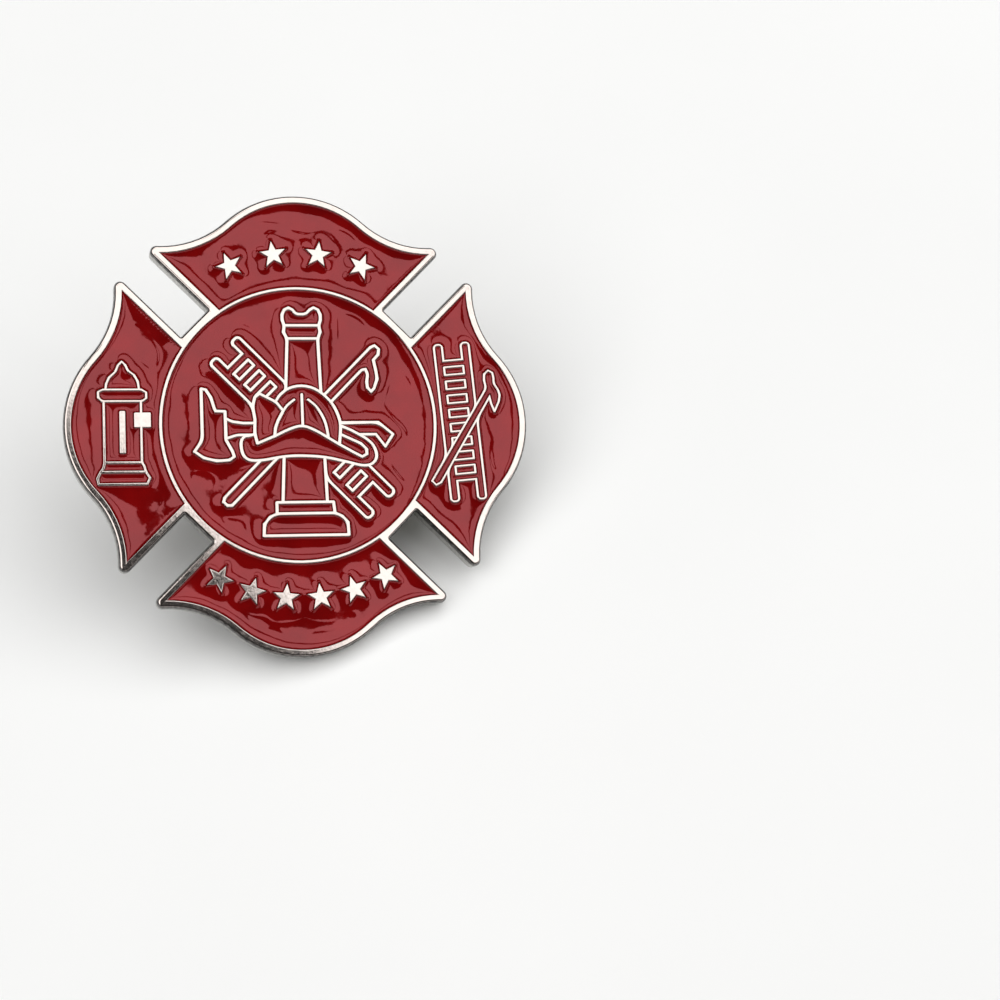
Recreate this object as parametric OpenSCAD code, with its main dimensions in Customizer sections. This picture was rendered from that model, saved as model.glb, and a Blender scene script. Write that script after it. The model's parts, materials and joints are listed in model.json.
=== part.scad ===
// Enamelled collar pin: a cross badge with raised metal lines round red enamel,
// a post soldered to its back, and a butterfly clutch on the post.
//
// Millimetres. The pin lies face up on a flat surface, as it lies unworn: it rests on
// its lower edge and on the wings of its clutch. +Z is up, and the origin is under the
// middle of the box that the pin fills. The badge itself is drawn lying flat, with its
// back on z = 0 and the middle of its ring on the z axis, and is then tipped.

/* [Badge] */
// Across the crowns of two opposite arms
badge_span = 28.8; // [20:0.2:45]
// Back to the top of the raised lines
badge_thick = 1.6; // [1:0.1:3]
// Depth of the recess that holds the enamel
recess_depth = 0.45; // [0.2:0.05:0.8]
// Width of the raised rim
rim_w = 0.37; // [0.2:0.01:0.8]
// Radius of the rounded crown of an arm, along the rim's inner side
crown_r = 6.0; // [4:0.1:8]
// Radius of the hollow beside the crown, along the rim's inner side
flank_r = 6.6; // [4:0.1:9]
// Angle of the outline where the crown turns into the hollow
turn_angle = 42; // [30:1:55]
// Rounding of the arm's tips
tip_r = 0.27; // [0.1:0.01:0.5]
// Spread of the sides below the bright front edge
side_spread = 0.14; // [0:0.01:0.2]
// Height of the bright front edge above the spread sides
edge_h = 0.25; // [0.1:0.05:0.4]

/* [Slots] */
// Width of the four diagonal slots
slot_w = 2.66; // [1:0.02:4]
// Distance of a slot's inner end from the badge's middle
slot_start = 8.9; // [7:0.05:12]

/* [Lines] */
// Radius of the ring, at the middle of its line
ring_r = 8.6; // [6:0.05:11]
// Width of the ring's line
ring_w = 0.24; // [0.15:0.01:0.6]
// Width of the lines of the emblem
line_w = 0.26; // [0.15:0.01:0.5]
// Width of the lines of the figures in the side arms
side_line_w = 0.2; // [0.12:0.01:0.4]
// Size across a star's points
star_span = 1.9; // [1:0.1:2.4]

/* [Enamel] */
// Drop of the enamel below the metal lines
enamel_drop = 0.12; // [0:0.01:0.3]
// Gap between enamel and metal, on every side
enamel_gap = 0.02; // [0.01:0.01:0.05]

/* [Post] */
// Diameter of the post
post_d = 1.1; // [0.8:0.05:1.6]
// Length of the post, point included
post_len = 7.4; // [5:0.1:10]
// Length of the post's point
post_point = 0.9; // [0.4:0.1:2]

/* [Clutch] */
// Outer diameter of the rolled rim
clutch_d = 11.4; // [8:0.1:14]
// Radius of the rolled rim's own round section
roll_r = 0.55; // [0.3:0.05:0.9]
// Free space between the badge's back and the clutch
clutch_gap = 0.4; // [0.2:0.05:2]
// Thickness of the cup's sheet
cup_wall = 0.3; // [0.2:0.05:0.5]
// Radial clearance of the clutch's hole round the post
bore_clear = 0.05; // [0.02:0.01:0.1]
// Thickness of the spring's sheet
spring_thick = 0.28; // [0.15:0.01:0.4]
// Radius of a wing's curl, on its outer side
curl_r = 1.8; // [1:0.1:2.5]
// Height of the wings above the badge's back
wing_top = 8.4; // [6:0.05:10]

/* [Hidden] */
$fn = 96;
// Sides of the small round corners of the lines.
corner_sides = 20;

// Outline of an arm that points along +Y. Its crown and the hollow beside it are two
// arcs that meet at turn_angle.
crown_top = badge_span / 2 - rim_w;
crown_center = [0, crown_top - crown_r];
flank_center = crown_center + (crown_r + flank_r) * [sin(turn_angle), cos(turn_angle)];
arc_steps = 12;
slot_length = 8;
inner_corner_r = 0.15;
recess_floor = badge_thick - recess_depth;

// Stars take the places along the arms' middles. Each row of stars: direction of the
// row's middle, how many stars, and the angle from one to the next.
star_r = 10.85;
STAR_ROWS = [[90, 4, 15], [270, 6, 11.4]];

// Ladder of the emblem, drawn along its own length and then turned.
ladder_turn = -45.5;
ladder_ends = [-6.6, 7.2];
ladder_half = 1.24;
ladder_rail = 0.6;
ladder_rungs = [-5.63, 5.8];
ladder_holes = [-4.85, -3.9, -2.93, 3.89, 5.01];
ladder_hole_size = [0.5, 1.28];

// Pike pole of the emblem, with the hook at its upper end.
POLE = [[-4.74, -4.52], [4.58, 4.85], [4.86, 4.97], [5.12, 4.74], [5.08, 4.4],
    [4.77, 4.06], [4.92, 3.32], [4.98, 2.86], [4.75, 2.24], [4.57, 2.05], [4.35, 2.3],
    [4.31, 2.7], [4.39, 3.15], [4.25, 3.46], [4, 3.43], [-4.3, -5.03], [-4.6, -5.03],
    [-4.82, -4.8]];

// Axe of the emblem: its head at the left, and its handle with a drooping grip.
AXE_HEAD = [[-6.07, 2.27], [-5.78, 2.2], [-5.48, 1.73], [-5.28, 1.05], [-5.19, 0.87],
    [-4.62, 0.84], [-4.58, -0.95], [-4.2, -1.66], [-4.1, -1.98], [-4.4, -2.2],
    [-5.2, -2.25], [-6, -2.05], [-6.55, -1.65], [-6.05, -0.95]];
AXE_HANDLE = [[-4.6, 0.4], [-4.2, 0.2], [-3.5, 0.1], [4.98, 0.1], [5.88, -0.66],
    [5.38, -1.43], [4.8, -0.66], [-3.9, -0.64], [-4.6, -0.86]];

// Play pipe of the emblem, from its cap down to its base.
PIPE_CAP = [[-0.8, 6.25], [-0.93, 6.6], [-0.93, 6.95], [-0.8, 7.24], [-0.52, 7.37],
    [-0.27, 7.24], [-0.1, 7.02], [0.09, 6.96], [0.43, 6.96], [0.62, 7.04], [0.8, 7.24],
    [1.06, 7.38], [1.34, 7.24], [1.48, 6.94], [1.48, 6.6], [1.36, 6.25]];
PIPE_NECK = [[-0.8, 6.25], [-0.87, 5.84], [-0.65, 5.42], [1.28, 5.42], [1.45, 5.84],
    [1.36, 6.25]];
PIPE_TUBE = [[-0.65, 5.42], [-1.14, -4.88], [1.64, -4.88], [1.28, 5.42]];
PIPE_COLLAR = [[-1.52, -4.88], [-1.52, -5.58], [2.1, -5.58], [2.02, -4.88]];
PIPE_BASE = [[-1.5, -5.58], [-1.95, -5.77], [-2.32, -6.2], [-2.36, -6.95], [2.94, -6.95],
    [2.9, -6.17], [2.53, -5.77], [2.1, -5.58]];
PIPE = [PIPE_CAP, PIPE_NECK, PIPE_TUBE, PIPE_COLLAR, PIPE_BASE];

// Helmet of the emblem: the curved top and the brow of its dome, the front shield,
// the brim, the loop of the brim's back, and the ribs on the dome.
DOME_TOP = [[-1.5, 1.4], [-1.16, 1.88], [-0.6, 2.28], [0.2, 2.43], [1, 2.24],
    [1.68, 1.75], [2.2, 1.12], [2.53, 0.3], [2.58, -0.3], [2.48, -1.28]];
BROW = [[2.48, -1.28], [1.78, -0.85], [1, -0.39], [0.2, -0.1], [-0.6, -0.28],
    [-1.6, -0.75]];
SHIELD = [[-2.64, -1.17], [-2.8, -0.55], [-2.77, 0.36], [-2.9, 1.16], [-2.75, 1.73],
    [-2.47, 1.95], [-1.9, 1.66], [-1.44, 1.42], [-1, 0.86], [-1.33, 0.25],
    [-1.5, -0.2], [-1.56, -0.72]];
BRIM = [[2.5, -0.1], [3.84, -0.72], [4.52, -1.23], [4.8, -1.8], [4.75, -2.25],
    [4.4, -2.56], [3.84, -2.6], [2.93, -2.38], [1.57, -2.08], [0.1, -1.97],
    [-1.05, -2.02], [-2.4, -2.23], [-3.2, -2.19], [-3.57, -1.8], [-3.66, -1.11],
    [-3.43, -0.74], [-2.8, -0.6], [0.2, 0.3]];
BRIM_LOOP = [[2.56, -0.64], [3.84, -1.23], [4.2, -1.6], [4.2, -1.9], [3.9, -2.06],
    [3.4, -1.8], [2.48, -1.28]];
LEFT_RIB = [[-0.3, 1.56], [-0.68, 1.26], [-1, 0.86], [-1.33, 0.25], [-1.5, -0.2],
    [-1.56, -0.72]];
RIGHT_RIB = [[0.58, 1.56], [1.05, 1.15], [1.42, 0.6], [1.66, 0], [1.8, -0.78]];
COMB = [[0.19, 1.9], [0.21, -0.05]];
rib_w = 0.24;

// Hydrant in the left arm.
BONNET = [[-11.93, 2.24], [-11.88, 2.6], [-11.7, 3], [-11.3, 3.35], [-11.15, 3.75],
    [-10.92, 3.98], [-10.68, 3.75], [-10.55, 3.42], [-10.15, 3.12], [-9.95, 2.75],
    [-9.88, 2.24]];
FLANGE = [[-12.1, 2.24], [-12.38, 2.1], [-12.38, 1.75], [-12.15, 1.52], [-9.7, 1.52],
    [-9.45, 1.7], [-9.45, 2.05], [-9.75, 2.24]];
BARREL = [[-12.05, 1.52], [-12.05, -2.28], [-9.78, -2.28], [-9.78, 1.52]];
LOWER_FLANGE = [[-12.05, -2.28], [-12.12, -2.62], [-12.3, -2.86], [-9.55, -2.86],
    [-9.64, -2.5], [-9.78, -2.28]];
FOOT = [[-12.3, -2.86], [-12.5, -3.25], [-12.42, -3.62], [-9.48, -3.62],
    [-9.3, -3.25], [-9.55, -2.86]];
outlet_size = [1.08, 1];
outlet_center = [-9.7, 0.35];
bar_size = [0.42, 2.7];
bar_center = [-10.93, -0.4];

// Ladder and pike in the right arm.
side_ladder_turn = 4.9;
side_ladder_center = [10.2, 0.1];
side_ladder_half = [1.13, 5];
side_ladder_rail = 0.52;
side_ladder_rungs = [-3.72, 3.95];
side_hole_count = 8;
side_hole_pitch = 0.905;
side_hole_size = [1.24, 0.5];
side_hole_middle = 0.12;
SIDE_PIKE = [[8.3, -3.65], [11.95, 2.25], [11.83, 2.75], [11.85, 3.15], [12.1, 3.37],
    [12.38, 3.22], [12.45, 2.9], [12.45, 2.55], [12.73, 2.1], [12.82, 1.8],
    [12.75, 1.4], [12.45, 0.75], [12.25, 1.25], [12.15, 1.68], [8.87, -3.75],
    [8.55, -3.9]];

// Clutch, drawn upright on its own axis, heights from the badge's back.
clutch_r = clutch_d / 2;
bore_r = post_d / 2 + bore_clear;
cup_floor = clutch_gap + cup_wall;
roll_center = [clutch_r - roll_r, clutch_gap + 1.1];
lip_r = 0.28;
lip_center = [clutch_r - 1.08, clutch_gap + 1.95];
cavity_r = lip_center[0] - 0.28;
spring_ring = [3.55, cavity_r - 0.05];
spring_ring_h = 1.75;

// Wing of the spring, from its wide root at the lip to its end beside the post. The strip
// drifts sideways as it curls, so the two wings cross side by side. Columns: distance
// along the wing's direction, height, and the two edges across it.
curl_center = [0, wing_top - curl_r];
curl_mid_r = curl_r - spring_thick / 2;
curl_start = 160;
curl_end = -12;
curl_steps = 12;
wing_inner = -0.3;
wing_w = 1.3;
wing_drift = 1.5;
WING_ROOT = [[-4.1, 2.05, -1, 1], [-3.7, 1.9, -2.05, 2.05], [-3.3, 1.95, -2.5, 2.6],
    [-3, 2.2, -2.2, 2.75], [-2.7, 2.75, -1.5, 2.1], [-2.45, 3.5, -0.85, 1.55],
    [-2.2, 4.4, -0.5, 1.2], [-1.95, 5.35, -0.35, 1.05],
    [-1.66, 6.3, wing_inner, wing_inner + wing_w]];
WING_END = [[1.5, 4.9, 0.85, 2.1], [1.35, 3.8, 0.55, 1.7], [1.16, 2.8, 0.3, 1.4],
    [0.96, 2.1, 0.1, 1.2], [0.86, 1.5, 0, 1.1]];
WING_CURL = [for (i = [0 : curl_steps])
    let (f = i / curl_steps, a = curl_start + (curl_end - curl_start) * f,
        inner = wing_inner + wing_drift * f)
    [curl_center[0] + curl_mid_r * cos(a), curl_center[1] + curl_mid_r * sin(a),
        inner, inner + wing_w]];
WING = concat(WING_ROOT, WING_CURL, WING_END);

// How the pin lies. It touches the surface with one crown and the tip beside it, so the
// tip line is the tangent of both, and with the curl of a wing.
tip_center = [8.68, -10.92];
crown_outer_r = crown_r + rim_w + side_spread;
crown_to_tip = tip_center - [0, -crown_center[1]];
tip_line = atan2(crown_to_tip[1], crown_to_tip[0])
    + asin((crown_outer_r - tip_r - side_spread) / norm(crown_to_tip));
edge_dist = crown_center[1] * cos(tip_line) + crown_outer_r;
curl_dist = norm([edge_dist - curl_center[0], curl_center[1]]);
lean = atan2(curl_center[1], edge_dist - curl_center[0]) + asin(curl_r / curl_dist);
clutch_turn = 90 - tip_line;
rest_height = edge_dist * sin(lean);
rest_shift = badge_thick * sin(lean) / 2 * [-sin(tip_line), cos(tip_line)];

nickel = [0.8, 0.79, 0.76];
red = [0.5, 0.02, 0.03];

function arc(center, r, a0, a1, n) =
    [for (i = [0 : n]) let (a = a0 + (a1 - a0) * i / n) center + r * [cos(a), sin(a)]];

// Point of the smooth curve through a, b, c and d, at the share t of the way from b to c.
function blend(a, b, c, d, t) = 0.5 * (2 * b + (c - a) * t
    + (2 * a - 5 * b + 4 * c - d) * t * t + (3 * b - 3 * c + d - a) * t * t * t);

// Smooth closed loop through the given corners, with n steps from one to the next.
function loop(p, n = 4) = let (m = len(p)) [for (i = [0 : m - 1], k = [0 : n - 1])
    blend(p[(i + m - 1) % m], p[i], p[(i + 1) % m], p[(i + 2) % m], k / n)];

// The same for an open path.
function path(p, n = 3) = let (last = len(p) - 1)
    concat([for (i = [0 : last - 1], k = [0 : n - 1])
        blend(p[max(i - 1, 0)], p[i], p[i + 1], p[min(i + 2, last)], k / n)], [p[last]]);

module tipped() {
    translate([rest_shift[0], rest_shift[1], rest_height])
        rotate(a = lean, v = [cos(tip_line), sin(tip_line), 0])
            children();
}

// Flat shape bounded above by an arm's crown and hollows, moved outward by grow.
module arm_top(grow) {
    right = concat(
        arc(crown_center, crown_r + grow, 90, 90 - turn_angle, arc_steps),
        arc(flank_center, flank_r - grow, 270 - turn_angle, 285, arc_steps));
    left = [for (i = [len(right) - 1 : -1 : 1]) [-right[i][0], right[i][1]]];
    polygon(concat(right, [[14, 0], [-14, 0]], left));
}

// Wedge between two slots. Its sides stay clear of the diagonals by side_gap.
module arm_wedge(side_gap) {
    foot = side_gap * sqrt(2);
    polygon([[0, foot], [20, 20 + foot], [-20, 20 + foot]]);
}

module arm(grow, side_gap) {
    intersection() {
        arm_top(grow);
        arm_wedge(side_gap);
    }
}

module rounded(r) {
    offset(r = r, $fn = 2 * corner_sides) offset(delta = -r) children();
}

// Flat plan of the badge, moved outward by spread.
module badge_outline(spread = 0) {
    gap_w = slot_w - 2 * spread;
    offset(r = -inner_corner_r, $fn = corner_sides) offset(delta = inner_corner_r)
        rounded(tip_r + spread)
            difference() {
                for (turn = [0 : 90 : 270])
                    rotate(turn) arm(rim_w + spread, 0);
                for (turn = [45 : 90 : 315])
                    rotate(turn) translate([slot_start + spread, -gap_w / 2])
                        square([slot_length, gap_w]);
            }
}

// Space of the enamel in the arm that points along the given direction.
module arm_field(turn) {
    difference() {
        rotate(turn - 90) arm(0, slot_w / 2 + rim_w);
        circle(r = ring_r + ring_w / 2);
    }
}

module center_field() {
    circle(r = ring_r - ring_w / 2);
}

// Line along the edge of a flat shape.
module edge_line(w) {
    difference() {
        offset(r = w / 2, $fn = corner_sides) children();
        offset(delta = -w / 2) children();
    }
}

// Line along an open path, with round ends: a hair-thin strip, grown to the full width.
module stroke(path, w) {
    last = len(path) - 1;
    span = path[last] - path[0];
    hair = 0.02;
    aside = hair / norm(span) * [-span[1], span[0]];
    there = [for (point = path) point - aside / 2];
    back = [for (i = [last : -1 : 0]) path[i] + aside / 2];
    offset(r = (w - hair) / 2, $fn = corner_sides) polygon(concat(there, back));
}

module star() {
    polygon([for (i = [0 : 9]) let (a = 90 + 36 * i)
        star_span / 2 * (i % 2 == 0 ? 1 : 0.42) * [cos(a), sin(a)]]);
}

module stars() {
    for (row = STAR_ROWS, i = [0 : row[1] - 1])
        rotate(row[0] + (i - (row[1] - 1) / 2) * row[2])
            translate([star_r, 0]) rotate(row[0] == 90 ? -90 : 90) star();
}

// Rails with rounded ends, joined by the first and the last rung.
module ladder_shape(ends, half, rail, rungs) {
    for (side = [-1, 1])
        translate([ends[0], side > 0 ? half - rail : -half])
            offset(r = rail * 0.4, $fn = corner_sides) offset(delta = -rail * 0.4)
                square([ends[1] - ends[0], rail]);
    translate([rungs[0], -half]) square([rungs[1] - rungs[0], 2 * half]);
}

module emblem_ladder() {
    rotate(ladder_turn) {
        edge_line(line_w) ladder_shape(ladder_ends, ladder_half, ladder_rail,
            ladder_rungs);
        for (x = ladder_holes)
            translate([x, 0]) edge_line(line_w) square(ladder_hole_size, center = true);
    }
}

module pipe_shape() {
    for (part = PIPE)
        polygon(part);
}

module pipe_lines() {
    for (part = PIPE)
        edge_line(line_w) polygon(part);
}

module dome() {
    polygon(concat(path(DOME_TOP), path(BROW)));
}

module helmet_shape() {
    polygon(loop(BRIM));
    dome();
    polygon(SHIELD);
    polygon(BRIM_LOOP);
}

module helmet_lines() {
    difference() {
        edge_line(line_w) polygon(loop(BRIM));
        dome();
        polygon(SHIELD);
    }
    difference() {
        edge_line(line_w) dome();
        polygon(SHIELD);
    }
    for (part = [SHIELD, BRIM_LOOP])
        edge_line(line_w) polygon(part);
    for (rib = [path(LEFT_RIB), path(RIGHT_RIB), COMB])
        stroke(rib, rib_w);
}

module emblem_lines() {
    difference() {
        union() {
            emblem_ladder();
            edge_line(line_w) polygon(POLE);
            edge_line(line_w) polygon(AXE_HEAD);
            edge_line(line_w) polygon(AXE_HANDLE);
        }
        pipe_shape();
        helmet_shape();
    }
    difference() {
        pipe_lines();
        helmet_shape();
    }
    helmet_lines();
}

module hydrant_lines() {
    for (part = [BONNET, FLANGE, BARREL, LOWER_FLANGE, FOOT])
        edge_line(side_line_w) polygon(part);
    translate(outlet_center) rounded(0.1) square(outlet_size, center = true);
    translate(bar_center) rounded(0.1) square(bar_size, center = true);
}

module side_ladder() {
    translate(side_ladder_center) rotate(side_ladder_turn) {
        rotate(90) edge_line(side_line_w)
            ladder_shape([-side_ladder_half[1], side_ladder_half[1]],
                side_ladder_half[0], side_ladder_rail, side_ladder_rungs);
        for (i = [0 : side_hole_count - 1])
            translate([0, side_hole_middle
                    + (i - (side_hole_count - 1) / 2) * side_hole_pitch])
                edge_line(side_line_w) square(side_hole_size, center = true);
    }
}

module side_figures() {
    difference() {
        side_ladder();
        polygon(SIDE_PIKE);
    }
    edge_line(side_line_w) polygon(SIDE_PIKE);
}

// All the raised figures inside the enamel, without rim and ring.
module figures() {
    emblem_lines();
    hydrant_lines();
    side_figures();
    stars();
}

// Flat plan of the recess: the given fields without the figures that stand in them.
module recess() {
    difference() {
        children();
        figures();
    }
}

module post() {
    translate([0, 0, -post_len + post_point])
        cylinder(h = post_len - post_point + recess_floor / 2, d = post_d);
    translate([0, 0, -post_len])
        cylinder(h = post_point, d1 = post_d * 0.35, d2 = post_d);
}

module badge() {
    color(nickel) tipped() {
        difference() {
            union() {
                linear_extrude(badge_thick) badge_outline();
                linear_extrude(badge_thick - edge_h) badge_outline(side_spread);
            }
            translate([0, 0, recess_floor]) linear_extrude(badge_thick)
                offset(delta = 0) recess() {
                    for (turn = [0 : 90 : 270])
                        arm_field(turn);
                    center_field();
                }
        }
        post();
    }
}

// Enamel of one field, from just above the recess floor to its dropped surface.
module enamel() {
    color(red) tipped()
        translate([0, 0, recess_floor + enamel_gap])
            linear_extrude(recess_depth - enamel_gap - enamel_drop)
                offset(delta = -enamel_gap) recess() children();
}

module enamel_top() {
    enamel() arm_field(90);
}

module enamel_bottom() {
    enamel() arm_field(270);
}

module enamel_left() {
    enamel() arm_field(180);
}

module enamel_right() {
    enamel() arm_field(0);
}

module enamel_center() {
    enamel() center_field();
}

// Places what is drawn upright on the clutch's axis behind the badge.
module behind_badge() {
    tipped() rotate([180, 0, 0]) rotate(clutch_turn) children();
}

module clutch_base() {
    color(nickel) behind_badge() {
        rotate_extrude()
            polygon([[bore_r, clutch_gap], [cavity_r + 0.2, clutch_gap],
                [roll_center[0], roll_center[1] - roll_r + 0.1],
                [roll_center[0], roll_center[1] + 0.3], lip_center,
                [cavity_r, lip_center[1]], [cavity_r, cup_floor],
                [bore_r, cup_floor]]);
        rotate_extrude() translate(roll_center) circle(r = roll_r);
        rotate_extrude() translate(lip_center) circle(r = lip_r);
    }
}

// One wing, bent from a strip of sheet. Four corners for each row of WING.
module wing() {
    last = len(WING) - 1;
    along = [for (i = [0 : last])
        let (a = WING[max(i - 1, 0)], b = WING[min(i + 1, last)],
            v = [b[0] - a[0], b[1] - a[1]])
        v / norm(v)];
    corners = [for (i = [0 : last], side = [-1, 1], edge = [2, 3])
        [WING[i][0] - side * along[i][1] * spring_thick / 2,
            -WING[i][edge],
            WING[i][1] + side * along[i][0] * spring_thick / 2]];
    ring = [0, 1, 3, 2];
    sides = [for (i = [0 : last - 1], k = [0 : 3])
        let (a = 4 * i + ring[k], b = 4 * i + ring[(k + 1) % 4])
        each [[a, b, b + 4], [a, b + 4, a + 4]]];
    ends = [[0, 2, 3], [0, 3, 1], [4 * last, 4 * last + 1, 4 * last + 3],
        [4 * last, 4 * last + 3, 4 * last + 2]];
    polyhedron(corners, concat(sides, ends));
}

module clutch_wings() {
    color(nickel) behind_badge() {
        translate([0, 0, spring_ring_h])
            difference() {
                cylinder(h = spring_thick, r = spring_ring[1]);
                translate([0, 0, -1]) cylinder(h = 2 + spring_thick, r = spring_ring[0]);
            }
        wing();
        rotate(180) wing();
    }
}

badge();
enamel_top();
enamel_bottom();
enamel_left();
enamel_right();
enamel_center();
clutch_base();
clutch_wings();
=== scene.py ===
"""Enamelled collar pin: raised nickel lines round red enamel, a post, and a butterfly clutch.

The badge is built here in its own flat frame, in millimetres: its back on z = 0, the middle
of its ring on the z axis, the upper arm towards +Y. BADGE_PLACE then tips it to where the
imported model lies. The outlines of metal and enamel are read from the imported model's faces.
"""

import json
import math

import bpy
import numpy as np
from mathutils import Matrix, Vector
from mathutils.geometry import delaunay_2d_cdt
from mathutils.kdtree import KDTree

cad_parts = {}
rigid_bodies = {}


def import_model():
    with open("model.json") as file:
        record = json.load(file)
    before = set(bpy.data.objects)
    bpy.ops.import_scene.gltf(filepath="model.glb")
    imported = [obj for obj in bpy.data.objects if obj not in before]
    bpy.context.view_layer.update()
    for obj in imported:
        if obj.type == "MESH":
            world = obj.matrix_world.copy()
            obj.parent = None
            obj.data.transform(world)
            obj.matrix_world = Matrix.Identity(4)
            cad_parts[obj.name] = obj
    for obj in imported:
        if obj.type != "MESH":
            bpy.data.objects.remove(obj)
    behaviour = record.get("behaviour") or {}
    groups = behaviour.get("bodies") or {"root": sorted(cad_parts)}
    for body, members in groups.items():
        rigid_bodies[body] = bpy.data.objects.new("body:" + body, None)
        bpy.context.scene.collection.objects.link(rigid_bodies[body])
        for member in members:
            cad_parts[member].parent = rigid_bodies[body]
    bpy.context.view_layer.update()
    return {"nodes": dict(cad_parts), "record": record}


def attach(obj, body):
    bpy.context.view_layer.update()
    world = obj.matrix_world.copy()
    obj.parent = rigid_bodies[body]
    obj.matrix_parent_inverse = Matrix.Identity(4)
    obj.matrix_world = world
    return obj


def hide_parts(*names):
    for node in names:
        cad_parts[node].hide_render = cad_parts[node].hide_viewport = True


# Nothing of the start-up scene is kept.
for leftover in list(bpy.data.objects):
    bpy.data.objects.remove(leftover)

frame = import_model()

MM = 0.001

# Points closer than this are one, and corners closer than this to a height lie at it.
JOIN_WITHIN = 1e-5
FLAT_WITHIN = 0.002

# Heights above the badge's back.
LINE_TOP = 1.6
RECESS_FLOOR = 1.15
ENAMEL_FOOT = 1.17
ENAMEL_TOP = 1.48

# Sides of the raised lines: upright to LEAN_FOOT, then leaning in, then rounded over. The upright
# and leaning parts are painted dark, a painted shade.
LEAN_FOOT = 1.48
LINE_DRAFT = 0.01
LINE_ROUND = 0.06

# Sides of the badge, with insets from the imported outline, negative ones outside it:
# rounded at the back, upright and spread out up to SPREAD_TOP, leaning in to EDGE_START,
# and rounded over to the front in steps. The lean and the first of those steps are painted
# as dark as the walls, a painted shade.
BACK_ROUND = 0.14
SIDE_SPREAD = 0.135
SPREAD_TOP = 1.3
EDGE_START = -0.08
EDGE_ROUND = 0.15
EDGE_STEPS = 5
EDGE_PAINTED_SHADE_STEPS = 3

# Bends of the outlines that are drawn as curves: turns in degrees, least and greatest
# length that a curve takes from the edge on each side, and its greatest share of the edge.
BEND_TURNS = (11.3, 52.7)
BEND_REACH = (0.06, 0.4)
BEND_SHARE = 0.45

# Enamel: level in the middle of a field, climb at the metal and how far it reaches, the
# steep brim right at the metal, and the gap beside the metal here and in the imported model.
ENAMEL_LEVEL = 1.35
ENAMEL_CLIMB = 0.15
CLIMB_REACH = 0.38
BRIM_CLIMB = 0.08
BRIM_REACH = 0.07
ENAMEL_SIDE_GAP = 0.005
CAD_SIDE_GAP = 0.02

# Points of the enamel's surface: their spacing, the distances of the brim's rows from the
# metal and the share of them that is kept clear, and how far all other points stay away.
ENAMEL_GRID = 0.062
BRIM_STEPS = (0.035, 0.08)
BRIM_CLEAR_SHARE = 0.8
ENAMEL_CLEARANCE = BRIM_STEPS[-1] + ENAMEL_GRID * 0.6

# The enamel's unevenness: a ridge along the metal, which wanders by the drift, and a faint
# swell, which starts at a distance from the metal and has grown in full after its rise.
RIDGE_HEIGHT = 0.009
RIDGE_AT = 0.8
RIDGE_DRIFT = 0.12
RIDGE_WIDTH = 0.09
SWELL_HEIGHT = 0.003
SWELL_START = 0.1
SWELL_RISE = 0.3

# The back's pebbling: spacing of its points, their distance from the border, size and
# depth of its grains, the sizes of its layers against the finest, and their peak.
BACK_GRID = 0.091
BACK_CLEARANCE = BACK_GRID * 0.7
BACK_GRAIN = 0.26
BACK_DEPTH = 0.085
GRAIN_LAYERS = (1, 1.7, 3)
GRAIN_PEAK = 2.4
BACK_SEED = 5

# Post, sunk into the badge at its foot. The shoulder of its point is cut off by so much
# across and along. The tip's radius is a share of the post's diameter, and its rounding a
# share of that radius.
POST_DIAMETER = 1.1
POST_LENGTH = 7.4
POST_POINT = 0.9
POST_SINK = 0.1
POST_FILLET = 0.2
POST_SHOULDER = (0.04, 0.1)
TIP_SHARE = 0.175
TIP_ROUND_SHARE = 0.45
POST_FACETS = 48

# Clutch. Its heights are counted from the badge's back down along the post. The bore and
# the cavity have a corner cut off, and the cup's face falls off at its edge by so much
# across and along. The roll and the lip are arcs, whose middles are by radius and height.
BORE_R = 0.6
BORE_CUT = 0.06
CLUTCH_GAP = 0.4
CUP_WALL = 0.3
FACE_R = 4.3
FACE_EDGE = (0.3, 0.08)
ROLL_MIDDLE = (5.15, 1.5)
ROLL_R = 0.55
ROLL_ANGLES = (-75, 165)
LIP_MIDDLE = (4.62, 2.35)
LIP_R = 0.28
LIP_ANGLES = (60, 190)
CAVITY_R = 4.34
CAVITY_RIM_H = 1.9
CAVITY_CUT = 0.15
CUP_FACETS = 144
SPRING_THICK = 0.28
SPRING_RING = (3.95, 4.29)
SPRING_RING_H = 1.75
RING_FACETS = 96

# Crumpled sheet inside the spring's ring, in two sectors between angles in degrees. A row's
# columns: radius, height, and its shares of the folds' depth and of their random swing.
FOLD_SECTORS = [(46, 134), (226, 314)]
FOLD_ROWS = [
    (4.1, 1.95, 0, 0.1564),
    (3.3, 1.6, 1, 0.9511),
    (2.4, 1.35, 0.8, 0.891),
    (1.4, 1.6, 0.5, 0.9511),
]
FOLD_COUNT = 8
FOLD_DEPTH = 0.28
FOLD_LEAST_SHARE = 0.5
FOLD_SWING = 0.06
FOLD_JITTER = 0.1
FOLD_THICK = 0.16
FOLD_SEED = 21

# A wing's curl between its root and its end: it turns round CURL_CENTER from the first
# angle to the second, and drifts to one side.
CURL_CENTER = (0, 6.6)
CURL_R = 1.66
CURL_ANGLES = (160, -12)
CURL_STEPS = 12
WING_INNER = -0.3
WING_W = 1.3
WING_DRIFT = 1.5

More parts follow.
